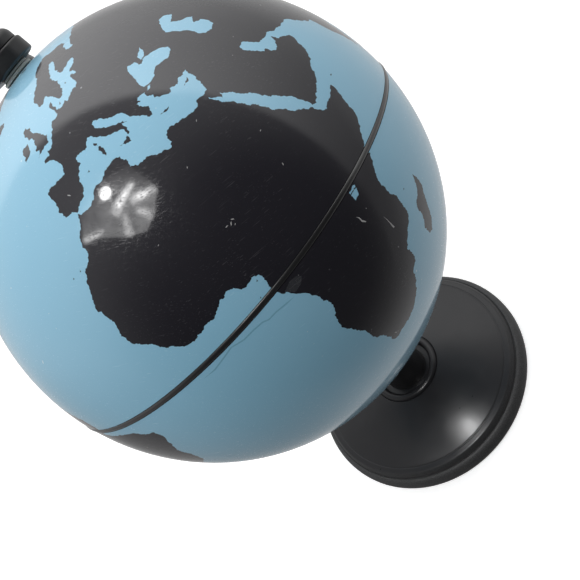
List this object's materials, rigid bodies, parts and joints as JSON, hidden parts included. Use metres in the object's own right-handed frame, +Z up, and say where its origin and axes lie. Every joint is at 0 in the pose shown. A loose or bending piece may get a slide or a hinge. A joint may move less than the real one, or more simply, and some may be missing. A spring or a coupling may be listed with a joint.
{
  "type": "terrestrial desk globe",
  "caption": "Plastic desk globe on a tilted polar axis, with a half-meridian arm, a tapered pedestal and a round weighted foot; the sphere spins on its polar axis.",
  "frame": {"origin": "centre of the foot's flat underside, on the surface it stands on", "axes": "+Z up along the foot's and pedestal's axis; +X towards the meridian arm, the side the north pole leans to; the arm lies in the XZ plane"},
  "size_m": [0.2607, 0.2508, 0.3825],
  "materials": {
    "globe_shell": "glossy sky-blue ocean with black printed land, lightly scratched",
    "equator_band": "glossy black strip",
    "arm_plastic": "satin black moulding",
    "base_plastic": "semi-gloss black dome with a finely textured rim",
    "bearing_nylon": "natural nylon",
    "fastener_steel": "zinc-plated",
    "weight_iron": "rough casting",
    "felt": "pressed felt"
  },
  "bodies": {
    "stand": {"meridian_arm": "arm_plastic", "north_pole_cap": "arm_plastic", "south_pole_cap": "arm_plastic", "north_pivot_screw": "fastener_steel", "south_pivot_screw": "fastener_steel", "north_thrust_washer": "bearing_nylon", "south_thrust_washer": "bearing_nylon", "pedestal": "base_plastic", "pedestal_collar": "base_plastic", "base_shell": "base_plastic", "base_weight": "weight_iron", "tie_bolt": "fastener_steel", "tie_washer": "fastener_steel", "tie_nut": "fastener_steel", "base_cover": "base_plastic", "cover_screw_1": "fastener_steel", "cover_screw_2": "fastener_steel", "cover_screw_3": "fastener_steel", "cover_screw_4": "fastener_steel", "base_felt": "felt"},
    "globe": {"north_hemisphere": "globe_shell", "south_hemisphere": "globe_shell", "equator_band": "equator_band", "equator_joining_ring": "bearing_nylon", "north_pole_bush": "bearing_nylon", "south_pole_bush": "bearing_nylon", "north_lock_ring": "bearing_nylon", "south_lock_ring": "bearing_nylon"}
  },
  "joints": [
    {"name": "globe_spin", "type": "hinge", "parent": "stand", "child": "globe", "pos_m": [0, 0, 0.2467], "axis": [0.3987, 0, 0.9171], "continuous": true}
  ]
}
